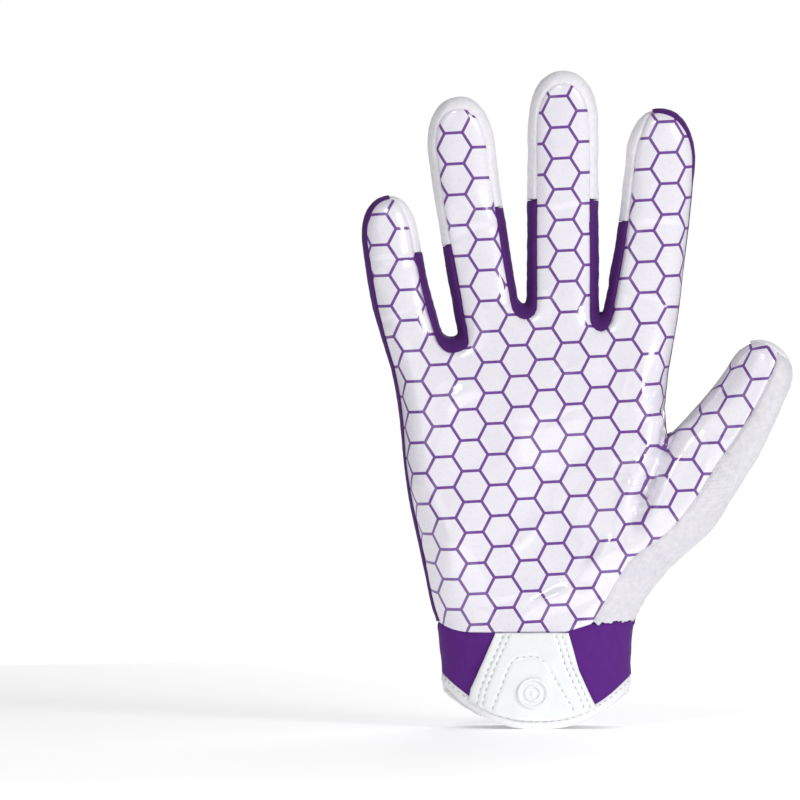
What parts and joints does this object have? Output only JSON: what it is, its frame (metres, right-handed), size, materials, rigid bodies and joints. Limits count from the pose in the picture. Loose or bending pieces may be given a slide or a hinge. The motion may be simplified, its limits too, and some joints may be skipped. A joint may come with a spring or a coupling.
{
  "type": "football glove",
  "caption": "Right-hand football receiver glove, printed grip palm, stretch back, suede thumb and a wrapped wrist strap",
  "frame": {"origin": "middle of the cuff opening, level with the cuff's lowest edge", "axes": "+Z from the cuff opening to the fingertips, the palm faces -Y, the thumb points to +X"},
  "size_m": [0.1535, 0.0417, 0.2356],
  "materials": {
    "silicone_print": "glossy white grip silicone on synthetic leather, printed with purple outlines",
    "striped_spandex": "matt purple stretch knit with white stripes that thin out towards the fingertips",
    "purple_spandex": "matt purple stretch knit",
    "white_suede": "white synthetic suede with a short nap",
    "cuff_neoprene": "purple knit over neoprene",
    "strap_neoprene": "purple brushed knit over neoprene",
    "white_binding": "white folded binding tape with stitches",
    "white_tab": "glossy white moulded tab with stitched edges"
  },
  "bodies": {
    "root": {"palm_panel": "silicone_print", "back_panel": "striped_spandex", "thumb_panel": "white_suede", "gusset_pinky_ring": "purple_spandex", "gusset_ring_middle": "purple_spandex", "gusset_middle_index": "purple_spandex", "tip_band_pinky": "white_suede", "tip_band_ring": "white_suede", "tip_band_middle": "white_suede", "tip_band_index": "white_suede", "cuff_band": "cuff_neoprene", "cuff_binding": "white_binding", "wrist_tab": "white_tab", "tab_disc": "white_tab", "closure_strap": "strap_neoprene", "strap_binding": "white_binding", "vent_binding": "white_binding"}
  },
  "joints": []
}
